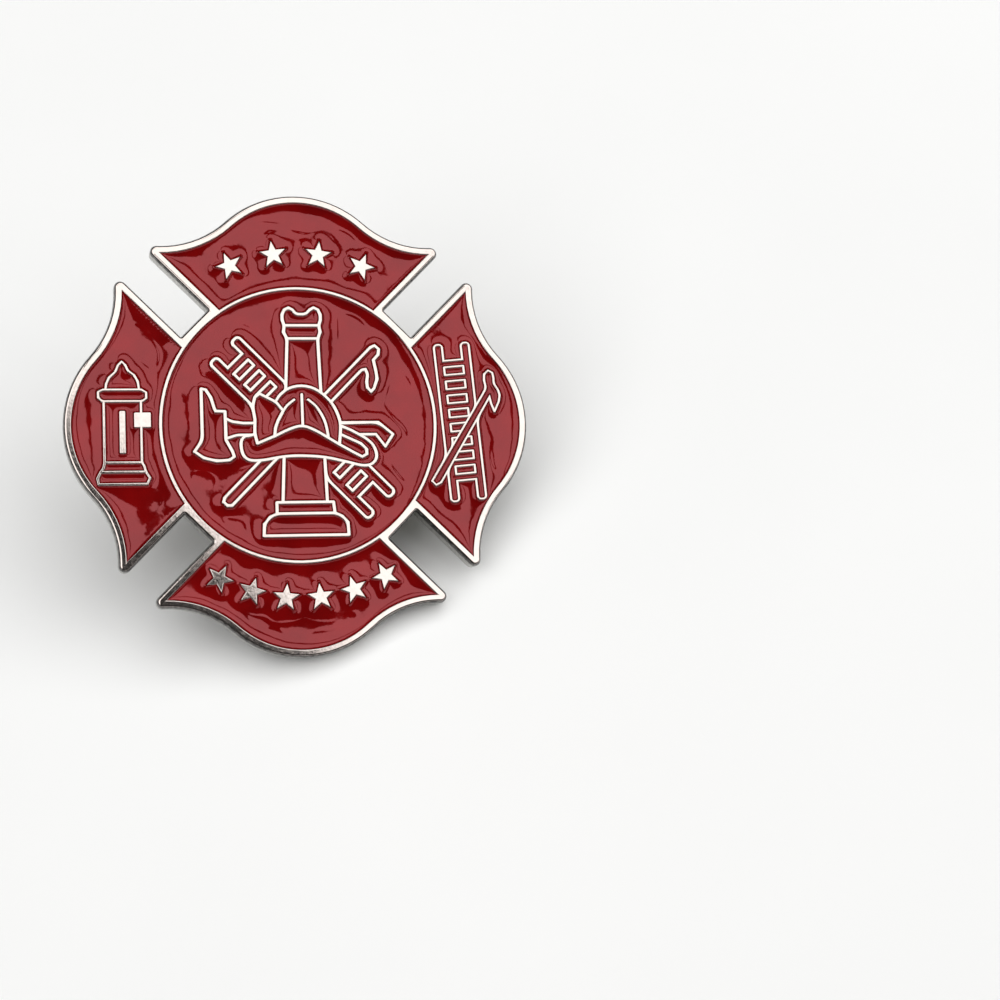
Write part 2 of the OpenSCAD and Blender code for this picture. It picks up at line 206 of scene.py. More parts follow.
# A wing's rows. Columns: distance along the wing and height of its middle line, its inner
# and outer edge across, and how far the edges lie ahead of the middle line.
WING_ROOT = [
    (-4.2, 1.93, -3.2, 3.2, 1.5),
    (-3.95, 1.95, -2.8, 3.05, 1.3),
    (-3.6, 2.1, -2.15, 2.75, 1.05),
    (-3.25, 2.45, -1.6, 2.35, 0.75),
    (-2.85, 3, -1.15, 1.7, 0.42),
    (-2.5, 3.7, -0.85, 1.2, 0.2),
    (-2.2, 4.5, -0.65, 0.95, 0.1),
    (-1.95, 5.35, -0.52, 0.86, 0.05),
    (-1.72, 6.3, -0.42, 0.9, 0),
]
WING_END = [
    (1.5, 4.9, 0.85, 2.1, 0),
    (1.35, 3.8, 0.55, 1.7, 0),
    (1.16, 2.8, 0.3, 1.4, 0),
    (0.96, 2.1, 0.1, 1.2, 0),
    (0.86, 1.5, 0, 1.1, 0),
]
STEPS_BETWEEN_ROWS = 4

# Turn of the clutch round the post.
CLUTCH_TURN = math.radians(66.596)

# Camera in the badge's frame, its lens, and its range of sight in metres.
CAMERA_AT = (-17.645, -18.75, 149.818)
CAMERA_TARGET = (12.616, -4.905, 1.6)
CAMERA_UP = (0.01322, 0.99533, 0.09567)
LENS = 86.4
SENSOR = 36
SIGHT_RANGE = (0.01, 10)

# Soft ceilings of light over the badge, parallel to its face: their height, and each one's
# two edges along the diagonal that points up and to the right, and its two edges across
# that, to the upper left. Edges are tangents of the angle from the face's own direction.
CEILING_H = 560
CEILING_TURN = math.radians(-45)
CEILING_BRIGHTNESS = 2
CEILINGS = {
    "near": ((0.095, 0.31), (-0.6, 1.4)),
    "far": ((0.38, 2), (-1, 1.6)),
    "left": ((-1.4, 0.05), (0.13, 1.9)),
}
WORLD_BRIGHTNESS = 0.05

# Metals. Columns: name, darkest and lightest colour, least and greatest roughness, grains
# to a millimetre and their depth, and clouds of colour to a millimetre. The clouds of
# roughness are finer.
FINER_CLOUDS = 2.3
LINE_METAL, PAINTED_SHADE_METAL, SIDE_METAL, BACK_METAL, POST_METAL = range(5)
BADGE_METALS = {
    LINE_METAL: ("polished nickel", (0.54, 0.475, 0.44), (0.58, 0.51, 0.475),
                 (0.04, 0.1), 5, 0.001, 2),
    # This nickel's dark colour is painted shade: it stands in for dark reflections on the line
    # walls, the recess floors and the inner part of the front edge.
    PAINTED_SHADE_METAL: ("nickel with painted shade", (0.02, 0.018, 0.017), (0.2, 0.19, 0.18),
                 (0.2, 0.35), 9, 0.01, 4),
    SIDE_METAL: ("die-cut nickel", (0.36, 0.35, 0.33), (0.56, 0.55, 0.52),
                 (0.2, 0.35), 5, 0.02, 4),
    BACK_METAL: ("pebbled nickel", (0.34, 0.335, 0.31), (0.6, 0.59, 0.55),
                 (0.1, 0.2), 5, 0.07, 2),
    POST_METAL: ("drawn nickel", (0.6, 0.58, 0.56), (0.8, 0.78, 0.75),
                 (0.15, 0.3), 8, 0.004, 2),
}
CLUTCH_METAL = ("bright nickel", (0.56, 0.54, 0.5), (0.7, 0.68, 0.64), (0.08, 0.16), 3, 0.004, 2)

# Darkest and lightest colour of the enamel and of the floor.
ENAMEL_COLOURS = (0.135, 0.0004, 0.0006), (0.2, 0.001, 0.0012)
FLOOR_COLOURS = (0.92, 0.92, 0.91), (0.95, 0.95, 0.94)

# The badge's frame is placed by the post, whose mount lies at the middle of the back and
# points away from the face. The clutch's frame is turned over behind it.
post_mount = frame["record"]["mounts"][0]
face_normal = -Vector(post_mount["axis"])
BADGE_TURN = Vector((0, 0, 1)).rotation_difference(face_normal).to_matrix().to_4x4()
BADGE_PLACE = Matrix.Translation(post_mount["pos_m"]) @ BADGE_TURN
BADGE_FROM_MM = BADGE_PLACE @ Matrix.Scale(MM, 4)
BEHIND_BADGE = Matrix.Rotation(math.pi, 4, "X") @ Matrix.Rotation(CLUTCH_TURN, 4, "Z")
CLUTCH_PLACE = BADGE_FROM_MM @ BEHIND_BADGE


# Camera and light
def place_camera():
    """Puts the camera where the photograph was taken from."""
    position = Vector(CAMERA_AT) * MM
    back = (position - Vector(CAMERA_TARGET) * MM).normalized()
    side = Vector(CAMERA_UP).cross(back).normalized()
    axes = Matrix((side, back.cross(side), back)).transposed().to_4x4()
    camera = bpy.data.objects.new("camera", bpy.data.cameras.new("camera"))
    camera.data.lens = LENS
    camera.data.sensor_width = SENSOR
    camera.data.clip_start, camera.data.clip_end = SIGHT_RANGE
    camera.matrix_world = BADGE_PLACE @ Matrix.Translation(position) @ axes
    bpy.context.scene.collection.objects.link(camera)
    bpy.context.scene.camera = camera


def add_ceiling(name, along, across):
    """One soft ceiling of light, from its edges along the diagonal and across it."""
    width, depth = np.ptp(across) * CEILING_H, np.ptp(along) * CEILING_H
    data = bpy.data.lights.new(name, "AREA")
    data.shape = "RECTANGLE"
    data.size = width * MM
    data.size_y = depth * MM
    data.energy = CEILING_BRIGHTNESS * width * depth * MM * MM * math.pi
    light = bpy.data.objects.new(name, data)
    turned = Matrix.Rotation(CEILING_TURN, 4, "Z")
    middle = Vector((-np.mean(across), np.mean(along), 1)) * CEILING_H * MM
    light.matrix_world = BADGE_PLACE @ turned @ Matrix.Translation(middle)
    light.visible_camera = False
    bpy.context.scene.collection.objects.link(light)


# Flat outlines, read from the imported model
def flat_face(node, height):
    """Corners and triangles of a node's flat face at a height of the badge's frame.

    Corners that agree to a thousandth of a millimetre are joined.
    """
    mesh = frame["nodes"][node].data
    into_badge = BADGE_FROM_MM.inverted()
    corners = np.array([into_badge @ v.co for v in mesh.vertices])
    corners, index = np.unique(corners.round(3), axis=0, return_inverse=True)
    triangles = index.ravel()[np.array([p.vertices for p in mesh.polygons])]
    flat = np.all(np.abs(corners[triangles][:, :, 2] - height) < FLAT_WITHIN, axis=1)
    return corners[:, :2], triangles[flat]


def outlines(node, height):
    """Closed outlines of a node's flat face, each with the solid on its left."""
    corners, triangles = flat_face(node, height)
    steps = {(t[i], t[(i + 1) % 3]) for t in triangles.tolist() for i in range(3)}
    following = {}
    for a, b in sorted(steps):
        if (b, a) not in steps:
            following.setdefault(a, []).append(b)
    loops = []
    while following:
        start = here = next(iter(following))
        loop = []
        while here in following:
            loop.append(here)
            ahead = following[here].pop()
            if not following[here]:
                del following[here]
            here = ahead
        if here == start and len(loop) > 2:
            loops.append(curved_bends(thinned(corners[loop])))
    return loops


def thinned(loop, least=0.012):
    """Outline without the points that crowd closer than the least distance."""
    kept = [loop[0]]
    for point in loop[1:]:
        if np.linalg.norm(point - kept[-1]) > least:
            kept.append(point)
    if np.linalg.norm(kept[0] - kept[-1]) < least:
        kept.pop()
    return np.array(kept)


def curved_bends(loop, steps=3):
    """Outline with its slight bends turned into curves; sharp corners stay."""
    points = []
    for before, corner, after in zip(np.roll(loop, 1, axis=0), loop, np.roll(loop, -1, axis=0)):
        back, ahead = before - corner, after - corner
        length = np.linalg.norm(back), np.linalg.norm(ahead)
        turn = math.degrees(math.acos(np.clip(-(back @ ahead) / (length[0] * length[1]), -1, 1)))
        reach = min(BEND_REACH[1], BEND_SHARE * min(length))
        if not BEND_TURNS[0] < turn < BEND_TURNS[1] or reach < BEND_REACH[0]:
            points.append(corner)
            continue
        start, end = corner + back * reach / length[0], corner + ahead * reach / length[1]
        for t in np.linspace(0, 1, steps + 1):
            points.append((1 - t) ** 2 * start + 2 * t * (1 - t) * corner + t**2 * end)
    return np.array(points)


def left_normals(loop):
    """Unit normals of an outline's edges, each from a point to the next, to the left."""
    along = np.roll(loop, -1, axis=0) - loop
    along /= np.linalg.norm(along, axis=1)[:, None]
    return np.stack([-along[:, 1], along[:, 0]], axis=1)


def corner_directions(loop, least=0.15):
    """Direction in which each point moves when the outline moves to its left by 1.

    The least divisor keeps a very sharp corner from moving too far.
    """
    after = left_normals(loop)
    before = np.roll(after, 1, axis=0)
    together = 1 + np.sum(after * before, axis=1)
    return (after + before) / np.maximum(together, least)[:, None]


def divided(loop, step):
    """Outline with extra points, so that none lie further apart than the step."""
    points = []
    for a, b in zip(loop, np.roll(loop, -1, axis=0)):
        n = max(1, math.ceil(np.linalg.norm(b - a) / step))
        points.extend(a + (b - a) * k / n for k in range(n))
    return np.array(points)


def inside(points, loops, batch=500):
    """Which points lie inside the outlines, holes left out, worked out in batches."""
    a = np.concatenate(loops)
    b = np.concatenate([np.roll(loop, -1, axis=0) for loop in loops])
    result = np.zeros(len(points), bool)
    for first in range(0, len(points), batch):
        x, y = points[first : first + batch].T[:, :, None]
        crosses = (a[:, 1] > y) != (b[:, 1] > y)
        rise = np.where(crosses, b[:, 1] - a[:, 1], 1)
        at = a[:, 0] + (y - a[:, 1]) * (b[:, 0] - a[:, 0]) / rise
        result[first : first + batch] = np.sum(crosses & (x < at), axis=1) % 2 == 1
    return result


def border_tree(loops, spacing):
    """Search tree of close points on the outlines."""
    points = np.concatenate([divided(loop, spacing) for loop in loops])
    tree = KDTree(len(points))
    for i, (x, y) in enumerate(points):
        tree.insert((x, y, 0), i)
    tree.balance()
    return tree


def distances(points, tree):
    """Distance of each flat point from the tree's nearest point."""
    return np.array([tree.find((x, y, 0))[2] for x, y in points])


def lattice(loops, spacing, clearance):
    """Even points inside the outlines, in staggered rows, clear of the outlines."""
    a = np.concatenate(loops)
    b = np.concatenate([np.roll(loop, -1, axis=0) for loop in loops])
    low, high = a.min(axis=0), a.max(axis=0)
    near = border_tree(loops, spacing / 2)
    points = []
    for row, y in enumerate(np.arange(low[1], high[1], spacing * math.sqrt(0.75))):
        crosses = (a[:, 1] > y) != (b[:, 1] > y)
        p, q = a[crosses], b[crosses]
        at = np.sort(p[:, 0] + (y - p[:, 1]) * (q[:, 0] - p[:, 0]) / (q[:, 1] - p[:, 1]))
        across = np.arange(low[0] + spacing / 2 * (row % 2), high[0], spacing)
        across = across[np.searchsorted(at, across) % 2 == 1]
        points.extend((x, y) for x in across if near.find((x, y, 0))[2] > clearance)
    return np.array(points).reshape(-1, 2)


def filled(loops, extra=()):
    """Points and triangles that fill the outlines, through the extra points too."""
    points = [Vector(p) for loop in loops for p in loop]
    edges = []
    for loop in loops:
        start = len(edges)
        edges.extend((start + i, start + (i + 1) % len(loop)) for i in range(len(loop)))
    border = len(points)
    points.extend(Vector(p) for p in extra)
    within_edges = 1
    made, _, faces, origins, _, _ = delaunay_2d_cdt(points, edges, [], within_edges, JOIN_WITHIN)
    made = np.array([p[:] for p in made])
    faces = np.array([f for f in faces if len(f) == 3])
    is_border = np.array([not old or min(old) < border for old in origins])
    keep = ~np.all(is_border[faces], axis=1)
    doubtful = np.flatnonzero(~keep)
    keep[doubtful] = inside(made[faces[doubtful]].mean(axis=1), loops)
    return made, faces[keep]


# Solids, built part by part
class Solid:
    """Triangles with a normal at each corner and a material each."""

    def __init__(self):
        self.corners, self.normals, self.materials = [], [], []

    def add(self, corners, normals, material):
        """Triangles as an array of triangles x corners x 3; normals may be a single one."""
        self.corners.append(corners)
        self.normals.append(np.broadcast_to(normals, corners.shape))
        self.materials.append(np.full(len(corners), material))

    def surface(self, points, triangles, material, normals=None):
        """Smooth surface through shared points; its normals are worked out if not given."""
        if normals is None:
            normals = smooth_normals(points, triangles)
        self.add(points[triangles], normals[triangles], material)

    def band(self, low, high, material):
        """Wall between two rings of the same number of points, seen with its outer side."""
        (a, p), (b, q) = low, high
        c, d = np.roll(a, -1, axis=0), np.roll(b, -1, axis=0)
        lower = np.stack([a, c, d], axis=1)
        upper = np.stack([a, d, b], axis=1)
        self.add(lower, np.stack([p[:, 0], p[:, 1], q[:, 1]], axis=1), material)
        self.add(upper, np.stack([p[:, 0], q[:, 1], q[:, 0]], axis=1), material)

    def build(self, name, materials, place):
        """The object, with corners that coincide joined into one."""
        corners = np.concatenate(self.corners)
        normals = np.concatenate(self.normals).reshape(-1, 3)
        steps = np.round(corners.reshape(-1, 3) / JOIN_WITHIN).astype(np.int64)
        _, first, index = np.unique(steps, axis=0, return_index=True, return_inverse=True)
        triangles = index.reshape(-1, 3)
        a, b, c = triangles.T
        whole = (a != b) & (b != c) & (c != a)
        mesh = bpy.data.meshes.new(name)
        mesh.from_pydata(corners.reshape(-1, 3)[first], [], triangles[whole])
        mesh.polygons.foreach_set("material_index", np.concatenate(self.materials)[whole])
        mesh.polygons.foreach_set("use_smooth", np.ones(whole.sum(), bool))
        mesh.normals_split_custom_set(normals.reshape(-1, 3, 3)[whole].reshape(-1, 3))
        mesh.transform(place)
        for material in materials:
            mesh.materials.append(material)
        piece = bpy.data.objects.new(name, mesh)
        bpy.context.scene.collection.objects.link(piece)
        return piece


def smooth_normals(points, triangles):
    """Normals of a smooth surface at its points."""
    a, b, c = (points[triangles[:, k]] for k in range(3))
    across = np.cross(b - a, c - a)
    total = np.zeros_like(points)
    for k in range(3):
        for axis in range(3):
            weights = across[:, axis]
            total[:, axis] += np.bincount(triangles[:, k], weights, len(points))
    return total / np.maximum(np.linalg.norm(total, axis=1), 1e-12)[:, None]


def edge_ring(loop, height, tilt=0, crease=25):
    """Ring of an outline at a height: points, and normals at both ends of each edge.

    The normals point away from the solid on the left and lean up by the tilt, in radians.
    They turn smoothly from edge to edge, and sharply where the outline turns by more
    degrees than the crease.
    """
    own = -left_normals(loop)
    start = own + np.roll(own, 1, axis=0)
    end = own + np.roll(own, -1, axis=0)
    sharp = np.sum(own * np.roll(own, 1, axis=0), axis=1) < math.cos(math.radians(crease))
    start = np.where(sharp[:, None], own, start)
    end = np.where(np.roll(sharp, -1)[:, None], own, end)
    level = np.stack([start, end], axis=1)
    level *= math.cos(tilt) / np.linalg.norm(level, axis=2)[:, :, None]
    normals = np.concatenate([level, np.full((len(loop), 2, 1), math.sin(tilt))], axis=2)
    return np.column_stack([loop, np.full(len(loop), height)]), normals


def turned_surface(solid, profile, count, material, crease=35):
    """Surface of revolution round the z axis. The solid lies left of the profile's way."""
    profile = np.array(profile, float)
    way = np.diff(profile, axis=0)
    own = np.stack([way[:, 1], -way[:, 0]], axis=1)
    own /= np.linalg.norm(own, axis=1)[:, None]
    own = np.concatenate([own[:1], own, own[-1:]])
    angles = 2 * math.pi * np.arange(count) / count
    cos, sin = np.cos(angles), np.sin(angles)

    def ring(point, normal):
        place = np.stack([point[0] * cos, point[0] * sin, np.full(count, point[1])], axis=1)
        turned = np.stack([normal[0] * cos, normal[0] * sin, np.full(count, normal[1])], axis=1)
        return place, np.stack([turned, np.roll(turned, -1, axis=0)], axis=1)

    def meeting(i, side):
        """Normal at a point of the profile, as seen from the stretch before or after it."""
        before, after = own[i], own[i + 1]
        if before @ after < math.cos(math.radians(crease)):
            return (before, after)[side]
        return (before + after) / np.linalg.norm(before + after)

    for i in range(len(profile) - 1):
        low = ring(profile[i], meeting(i, 1))
        high = ring(profile[i + 1], meeting(i + 1, 0))
        solid.band(low, high, material)


def arc_points(middle, radius, start, end, steps):
    """Points of an arc; the angles are in degrees."""
    angles = np.radians(np.linspace(start, end, steps + 1))
    return [(middle[0] + radius * math.cos(a), middle[1] + radius * math.sin(a)) for a in angles]


def waves(points, spacing, count, seed, spread=(0.7, 1.6)):
    """Smooth random field of height about 1 over flat points: a sum of slanted waves.

    Their lengths are spread round the spacing.
    """
    rng = np.random.default_rng(seed)
    angle = rng.uniform(0, 2 * math.pi, count)
    rate = 2 * math.pi / (spacing * rng.uniform(*spread, count))
    phase = rng.uniform(0, 2 * math.pi, count)
    slant = np.stack([np.cos(angle), np.sin(angle)]) * rate
    total = np.zeros(len(points))
    for k in range(count):
        total += np.cos(points @ slant[:, k] + phase[k])
    return total / math.sqrt(count / 2)


# Metal of the badge
def rounding(inset, height, radius, turn, material, steps=4):
    """Profile rows of a quarter round, from inset and height on, in and up or out and up."""
    rows = []
    for angle in np.linspace(0, math.pi / 2, steps + 1):
        early, late = radius * (1 - math.cos(angle)), radius * math.sin(angle)
        if turn == "in":
            rows.append((inset + early, height + late, material))
        else:
            rows.append((inset - late, height + early, material))
    return rows


def wall(solid, loop, profile, crease=35):
    """Wall over an outline, from its profile's foot to its top; returns the top's outline.

    Each row of the profile is inset, height, and the material of the stretch above it.
    """
    into = corner_directions(loop)
    insets, heights = np.array([row[:2] for row in profile], float).T
    tilts = np.arctan2(np.diff(insets), np.diff(heights))
    for i, tilt in enumerate(tilts):
        rings = []
        for at, other in ((i, i - 1), (i + 1, i + 1)):
            near = tilts[other] if 0 <= other < len(tilts) else tilt
            smooth = abs(near - tilt) < math.radians(crease)
            lean = (tilt + near) / 2 if smooth else tilt
            points, normals = edge_ring(loop, heights[at], lean)
            points[:, :2] += into * insets[at]
            rings.append((points, normals))
        solid.band(*rings, profile[i][2])
    return loop + into * insets[-1]


def build_metal(materials):
    """The struck badge: rim, lines and recess floor in front, the pebbled back, the post."""
    # The lines' upright and leaning sides take the painted shade.
    line_side = [(0, RECESS_FLOOR, PAINTED_SHADE_METAL), (0, LEAN_FOOT, PAINTED_SHADE_METAL)]
    line_side += rounding(LINE_DRAFT, LINE_TOP - LINE_ROUND, LINE_ROUND, "in", LINE_METAL)
    badge_side = rounding(BACK_ROUND - SIDE_SPREAD, 0, BACK_ROUND, "out", SIDE_METAL)
    # The lean under the front edge takes the painted shade, and so do the first steps of its
    # rounding.
    badge_side += [(-SIDE_SPREAD, SPREAD_TOP, PAINTED_SHADE_METAL)]
    front_edge = rounding(EDGE_START, LINE_TOP - EDGE_ROUND, EDGE_ROUND, "in", LINE_METAL,
                          EDGE_STEPS)
    badge_side += [(*row[:2], PAINTED_SHADE_METAL) for row in front_edge[:EDGE_PAINTED_SHADE_STEPS]]
    badge_side += front_edge[EDGE_PAINTED_SHADE_STEPS:]
    solid = Solid()
    loops = outlines("badge", LINE_TOP)
    outline = max(loops, key=lambda loop: np.ptp(loop[:, 0]))
    inner = [loop for loop in loops if loop is not outline]
    tops = [wall(solid, outline, badge_side)]
    tops += [wall(solid, loop, line_side) for loop in inner]
    flat_sheet(solid, tops, LINE_TOP, LINE_METAL)
    # The recess floor under the enamel takes the painted shade as well.
    flat_sheet(solid, inner, RECESS_FLOOR, PAINTED_SHADE_METAL)
    build_back(solid, outline + corner_directions(outline) * (BACK_ROUND - SIDE_SPREAD))
    build_post(solid)
    return solid.build("badge_metal", materials, BADGE_FROM_MM)


def flat_sheet(solid, loops, height, material, facing=1):
    """Flat sheet inside outlines, facing up, or down at -1."""
    points, triangles = filled(loops)
    normals = np.tile([0.0, 0, facing], (len(points), 1))
    solid.surface(at_height(points, height), triangles[:, ::facing], material, normals)


def at_height(points, height):
    """Flat points raised to a height, or each to its own."""
    return np.column_stack([points, np.broadcast_to(height, len(points))])


def build_back(solid, outline):
    """The back: flat, and finely pebbled by the die inside its border."""
    grains = lattice([outline], BACK_GRID, BACK_CLEARANCE)
    points, triangles = filled([outline], grains)
    depth = pebbles(points, BACK_GRAIN, BACK_SEED) * BACK_DEPTH
    depth[border_points(triangles, len(points))] = 0
    solid.surface(at_height(points, depth), triangles[:, ::-1], BACK_METAL)


def pebbles(points, grain, seed):
    """Heights from 0 to 1 of a field of small round grains, over flat points.

    Each layer of grains is coarser and weaker than the one before.
    """
    total = np.zeros(len(points))
    for k, size in enumerate(GRAIN_LAYERS):
        total += np.abs(waves(points, grain * size, count=9, seed=seed + k)) / (k + 1)
    return np.clip(total / GRAIN_PEAK, 0, 1)


def build_post(solid):
    """The soldered post: a small fillet at its foot, a straight stem, and a blunt point.

    Its foot is sunk into the badge, past the pebbling.
    """
    radius, tip = POST_DIAMETER / 2, POST_DIAMETER * TIP_SHARE
    foot_radius, tip_round = radius + POST_FILLET, tip * TIP_ROUND_SHARE
    foot = [(0, POST_SINK), (foot_radius, POST_SINK)]
    foot += arc_points((foot_radius, -POST_FILLET), POST_FILLET, 90, 180, steps=6)
    point_start = POST_POINT - POST_LENGTH
    cut_across, cut_along = POST_SHOULDER
    shoulder = [(radius, point_start + cut_along), (radius - cut_across, point_start)]
    nose = arc_points((tip - tip_round, tip_round - POST_LENGTH), tip_round, 0, -90, steps=4)
    profile = [*foot, *shoulder, *nose, (0, -POST_LENGTH)]
    turned_surface(solid, profile[::-1], POST_FACETS, POST_METAL)


# Enamel
def build_enamel(node, material):
    """One node's enamel: its surface climbs at the metal and is a little uneven beside it."""
    way_out = CAD_SIDE_GAP - ENAMEL_SIDE_GAP
    loops = outlines(node, ENAMEL_TOP)
    loops = [divided(loop - corner_directions(loop) * way_out, ENAMEL_GRID) for loop in loops]
    metal = border_tree(loops, ENAMEL_GRID / 2)
    inner = [lattice(loops, ENAMEL_GRID, ENAMEL_CLEARANCE)]
    for step in BRIM_STEPS:
        brim = np.concatenate([loop + corner_directions(loop) * step for loop in loops])
        brim = brim[inside(brim, loops)]
        inner.append(brim[distances(brim, metal) > step * BRIM_CLEAR_SHARE])
    points, triangles = filled(loops, np.concatenate(inner))
    border = border_points(triangles, len(points))
    climb = settled(points, triangles, border, CLIMB_REACH)
    # The climb dies out evenly, so its logarithm tells a softened distance from the metal.
    away = -CLIMB_REACH * np.log(np.maximum(climb, 1e-6))
    brim = BRIM_CLIMB * np.exp(-distances(points, metal) / BRIM_REACH)
    height = ENAMEL_LEVEL + ENAMEL_CLIMB * climb + brim + unevenness(points, away)
    top = ENAMEL_LEVEL + ENAMEL_CLIMB + BRIM_CLIMB
    height[border] = top
    solid = Solid()
    solid.surface(at_height(points, height), triangles, 0)
    for loop in loops:
        solid.band(edge_ring(loop, ENAMEL_FOOT), edge_ring(loop, top), 0)
    flat_sheet(solid, loops, ENAMEL_FOOT, 0, -1)
    return solid.build(node + "_fill", [material], BADGE_FROM_MM)


def unevenness(points, away):
    """Small unevenness of the set enamel: a ridge that comes and goes, and a faint swell.

    Each point is given with its distance away from the metal.
    """
    drift = RIDGE_DRIFT * waves(points, spacing=2.5, count=8, seed=11)
    ridge = np.exp(-(((away - RIDGE_AT - drift) / RIDGE_WIDTH) ** 2))
    strength = 0.5 + 0.5 * np.clip(waves(points, spacing=3.2, count=8, seed=12), -1, 1)
    grown = np.clip((away - SWELL_START) / SWELL_RISE, 0, 1)
    swell = grown * SWELL_HEIGHT * waves(points, spacing=1.6, count=9, seed=13)
    return RIDGE_HEIGHT * ridge * strength + swell


def border_points(triangles, count):
    """Which points lie on the border of a sheet of triangles."""
    sides = np.concatenate([triangles[:, [i, (i + 1) % 3]] for i in range(3)])
    sides = np.sort(sides, axis=1)
    pairs, times = np.unique(sides, axis=0, return_counts=True)
    border = np.zeros(count, bool)
    border[pairs[times == 1].ravel()] = True
    return border


def settled(points, triangles, border, reach, most_pull=20, tolerance=1e-8, most_rounds=600):
    """Share of the border's height at each point: 1 at the border, dying out with distance.

    Solves reach^2 * laplacian(u) = u with u = 1 on the border, by conjugate gradients. The
    pull between two points is limited, for the sake of very narrow triangles.
    """
    count = len(points)
    first, second, pull, area = [], [], [], np.zeros(count)
    for k in range(3):
        a, b, c = (triangles[:, (k + i) % 3] for i in range(3))
        p, q = points[b] - points[a], points[c] - points[a]
        cross = np.abs(p[:, 0] * q[:, 1] - p[:, 1] * q[:, 0])
        cotangent = np.sum(p * q, axis=1) / np.maximum(cross, 1e-9)
        first.append(b)
        second.append(c)
        pull.append(np.clip(cotangent, 0, most_pull) / 2)
        area += np.bincount(a, cross / 6, count)
    first, second = np.concatenate(first), np.concatenate(second)
    pull = np.concatenate(pull) * reach**2

    def applied(u):
        flow = pull * (u[first] - u[second])
        return area * u + np.bincount(first, flow, count) - np.bincount(second, flow, count)

    u = border.astype(float)
    free = ~border
    rest = -applied(u) * free
    weight = area + np.bincount(first, pull, count) + np.bincount(second, pull, count)
    scaled = rest / weight
    way = scaled.copy()
    energy = rest @ scaled
    goal = energy * tolerance
    for _ in range(most_rounds):
        if energy < goal:
            break
        pushed = applied(way) * free
        step = energy / (way @ pushed)
        u += step * way
        rest -= step * pushed
        scaled = rest / weight
        energy, before = rest @ scaled, energy
        way = scaled + energy / before * way
    return u


# Clutch
def build_cup(material):
    """The clutch's cup: a flat face towards the badge and a rolled rim."""
    solid = Solid()
    sheet_top = CLUTCH_GAP + CUP_WALL
    bore = [(BORE_R, sheet_top), (BORE_R, CLUTCH_GAP + BORE_CUT), (BORE_R + BORE_CUT, CLUTCH_GAP)]
    face = [(FACE_R, CLUTCH_GAP), (FACE_R + FACE_EDGE[0], CLUTCH_GAP + FACE_EDGE[1])]
    roll = arc_points(ROLL_MIDDLE, ROLL_R, *ROLL_ANGLES, steps=24)
    lip = arc_points(LIP_MIDDLE, LIP_R, *LIP_ANGLES, steps=12)
    cavity = [(CAVITY_R, CAVITY_RIM_H), (CAVITY_R, sheet_top + CAVITY_CUT),
              (CAVITY_R - CAVITY_CUT, sheet_top)]
    profile = [*bore, *face, *roll, *lip, *cavity, bore[0]]
    turned_surface(solid, profile, CUP_FACETS, 0)
    return solid.build("clutch_cup", [material], CLUTCH_PLACE)


def blended(rows, steps):
    """Smooth curve through rows of numbers, with a number of steps between two rows."""
    rows = np.array(rows, float)
    last = len(rows) - 1
    t = np.arange(steps)[:, None] / steps
    curve = []
    for i in range(last):
        a, b, c, d = rows[max(i - 1, 0)], rows[i], rows[i + 1], rows[min(i + 2, last)]
        curve.append(0.5 * (2 * b + (c - a) * t + (2 * a - 5 * b + 4 * c - d) * t**2
                            + (3 * b - 3 * c + d - a) * t**3))
    return np.concatenate([*curve, rows[-1:]])


def wing_section(half_thick, inner, outer, ahead, round_steps=4, flat_steps=8):
    """Outline of the strip's section: across, along the wing, and out of its sheet.

    Its two edges are rounded and lie ahead of its middle.
    """
    points = []
    for middle, start, sign in ((outer - half_thick, -90, -1), (inner + half_thick, 90, 1)):
        turn = arc_points((middle, 0), half_thick, start, start + 180, round_steps)
        flat = np.linspace(outer - half_thick, inner + half_thick, flat_steps + 1)[1:-1]
        points += turn + [(x, sign * -half_thick) for x in flat[:: -sign]]
    across, off = np.array(points).T
    share = (across - (inner + outer) / 2) / ((outer - inner) / 2)
    return across, ahead * share**2, off


def curl_rows():
    """The wing's rows round its curl."""
    rows = []
    for i, middle in enumerate(arc_points(CURL_CENTER, CURL_R, *CURL_ANGLES, CURL_STEPS)):
        drift = WING_DRIFT * i / CURL_STEPS
        rows.append((*middle, WING_INNER + drift, WING_INNER + WING_W + drift, 0))
    return rows


def build_wing(solid, side):
    """One wing of the spring, swept along its bent middle line, on the side 1 or -1."""
    rows = blended([*WING_ROOT, *curl_rows(), *WING_END], STEPS_BETWEEN_ROWS)
    along = np.gradient(rows[:, :2], axis=0)
    along /= np.linalg.norm(along, axis=1)[:, None]
    rings = []
    for (s, h, inner, outer, ahead), (run, rise) in zip(rows, along):
        across, forward, off = wing_section(SPRING_THICK / 2, inner, outer, ahead)
        rings.append(np.stack([s + forward - off * rise, -across, h + off * run], axis=1))
    rings = np.array(rings)
    count, around = rings.shape[:2]
    index = np.arange(count * around).reshape(count, around)
    a, b = index[:-1], np.roll(index, -1, axis=1)[:-1]
    c, d = np.roll(index, -1, axis=1)[1:], index[1:]
    quads = np.stack([a, b, c, d], axis=-1).reshape(-1, 4)
    triangles = np.concatenate([quads[:, [0, 1, 2]], quads[:, [0, 2, 3]]])
    points = rings.reshape(-1, 3) * [side, side, 1]
    solid.surface(points, triangles, 0)
    cap = strip_cap(around)
    solid.surface(points[index[0]], cap, 0)
    solid.surface(points[index[-1]], cap[:, ::-1], 0)


def strip_cap(around, tip=2):
    """Triangles across a thin section from tip to tip; the tip is one tip's place in it."""
    steps = np.arange(around // 2)
    near, far = (tip + steps) % around, (tip - steps) % around
    next_near, next_far = (near + 1) % around, (far - 1) % around
    return np.concatenate([np.stack([near, next_near, next_far], axis=1),
                           np.stack([near, next_far, far], axis=1)])


